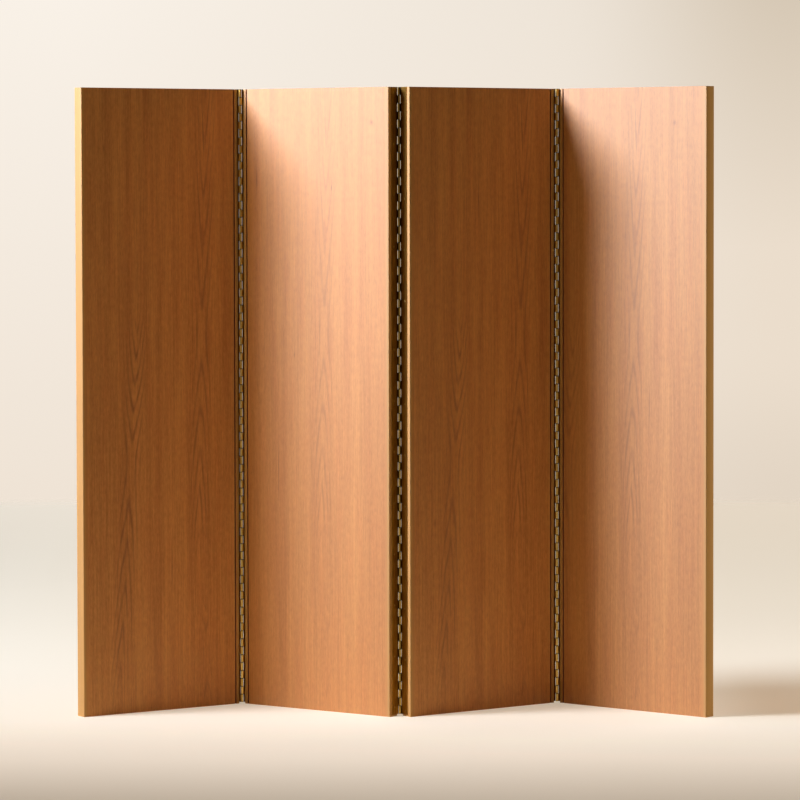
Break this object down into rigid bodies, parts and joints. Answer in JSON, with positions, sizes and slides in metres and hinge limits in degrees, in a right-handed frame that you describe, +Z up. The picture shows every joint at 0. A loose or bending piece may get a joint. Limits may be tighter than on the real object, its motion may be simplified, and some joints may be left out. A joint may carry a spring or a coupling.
{
  "type": "folding screen",
  "caption": "Free-standing folding screen of tall veneered wood panels joined in a zigzag by full-height brass continuous hinges that fold from in line to face to face.",
  "frame": {"origin": "on the floor, at the middle of the standing screen's bounding box", "axes": "+Z up; +X along the line of the screen to the right as seen from the front; +Y to the back; the picture is taken from -Y"},
  "size_m": [1.851, 0.3696, 1.83],
  "materials": {
    "veneer": "satin",
    "lipping": "satin",
    "rail": "matte",
    "core": "matte",
    "hinge_brass": "satin",
    "pin_brass": "satin",
    "screw_brass": "satin"
  },
  "bodies": {
    "panel_1": {"panel_1_core": "core", "panel_1_front_board": "veneer", "panel_1_back_board": "veneer", "panel_1_left_lipping": "lipping", "panel_1_right_lipping": "lipping", "panel_1_top_rail": "rail", "panel_1_bottom_rail": "rail", "left_hinge_left_leaf": "hinge_brass", "left_hinge_left_screws": "screw_brass"},
    "panel_2": {"panel_2_core": "core", "panel_2_front_board": "veneer", "panel_2_back_board": "veneer", "panel_2_left_lipping": "lipping", "panel_2_right_lipping": "lipping", "panel_2_top_rail": "rail", "panel_2_bottom_rail": "rail", "left_hinge_right_leaf": "hinge_brass", "left_hinge_right_screws": "screw_brass", "left_hinge_pin": "pin_brass", "centre_hinge_left_leaf": "hinge_brass", "centre_hinge_left_screws": "screw_brass", "centre_hinge_pin": "pin_brass"},
    "panel_3": {"panel_3_core": "core", "panel_3_front_board": "veneer", "panel_3_back_board": "veneer", "panel_3_left_lipping": "lipping", "panel_3_right_lipping": "lipping", "panel_3_top_rail": "rail", "panel_3_bottom_rail": "rail", "centre_hinge_right_leaf": "hinge_brass", "centre_hinge_right_screws": "screw_brass", "right_hinge_left_leaf": "hinge_brass", "right_hinge_left_screws": "screw_brass", "right_hinge_pin": "pin_brass"},
    "panel_4": {"panel_4_core": "core", "panel_4_front_board": "veneer", "panel_4_back_board": "veneer", "panel_4_left_lipping": "lipping", "panel_4_right_lipping": "lipping", "panel_4_top_rail": "rail", "panel_4_bottom_rail": "rail", "right_hinge_right_leaf": "hinge_brass", "right_hinge_right_screws": "screw_brass"}
  },
  "joints": [
    {"name": "left_hinge", "type": "hinge", "parent": "panel_2", "child": "panel_1", "pos_m": [-0.45647, 0.1466, 0], "axis": [0, 0, 1], "range_deg": [-70, 110]},
    {"name": "centre_hinge", "type": "hinge", "parent": "panel_2", "child": "panel_3", "pos_m": [0.01446, -0.12531, 0], "axis": [0, 0, 1], "range_deg": [-71.9, 108.1]},
    {"name": "right_hinge", "type": "hinge", "parent": "panel_3", "child": "panel_4", "pos_m": [0.483, 0.15069, 0], "axis": [0, 0, 1], "range_deg": [-104.2, 75.8]}
  ]
}
